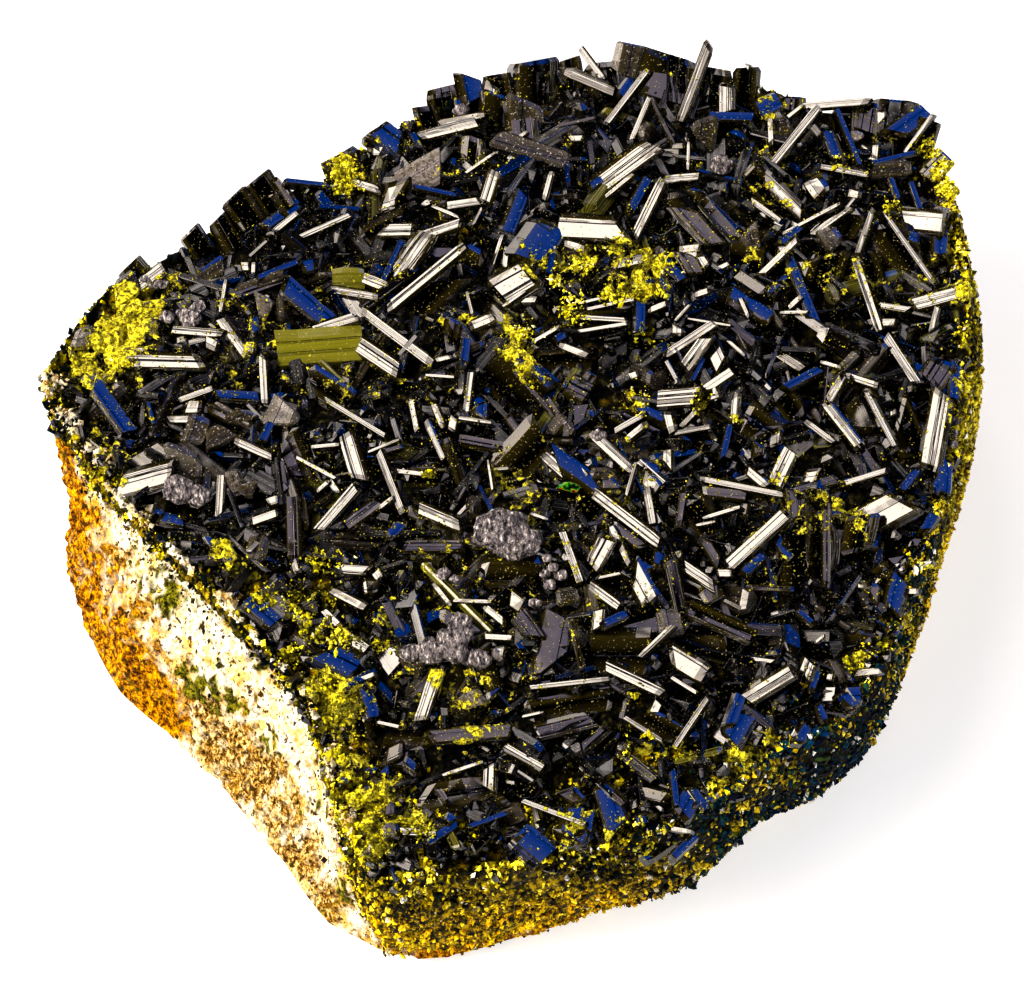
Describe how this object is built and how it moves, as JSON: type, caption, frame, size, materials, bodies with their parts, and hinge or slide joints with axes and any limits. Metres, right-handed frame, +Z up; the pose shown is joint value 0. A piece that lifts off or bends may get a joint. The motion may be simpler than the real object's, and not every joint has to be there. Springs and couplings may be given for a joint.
{
  "type": "epidote specimen",
  "caption": "Cabinet specimen of epidote: dark glassy laths lying every way on a yellow-green granular crust over a block of pale, rust-stained host rock with a flat underside.",
  "frame": {"origin": "on the flat underside that the specimen rests on, near the middle of its outline", "axes": "+Z up through the crystals, +X to the right and +Y to the back as the crystal side is seen from the front, with the broken rock face at the front left"},
  "size_m": [0.0997, 0.097, 0.034],
  "materials": {
    "epidote": "vitreous, near-black to olive, lathy crystals over a yellow-green granular crust",
    "rock": "rough broken rock, cream to rust brown"
  },
  "bodies": {
    "root": {"epidote_druse": "epidote", "matrix_rock": "rock"}
  },
  "joints": []
}
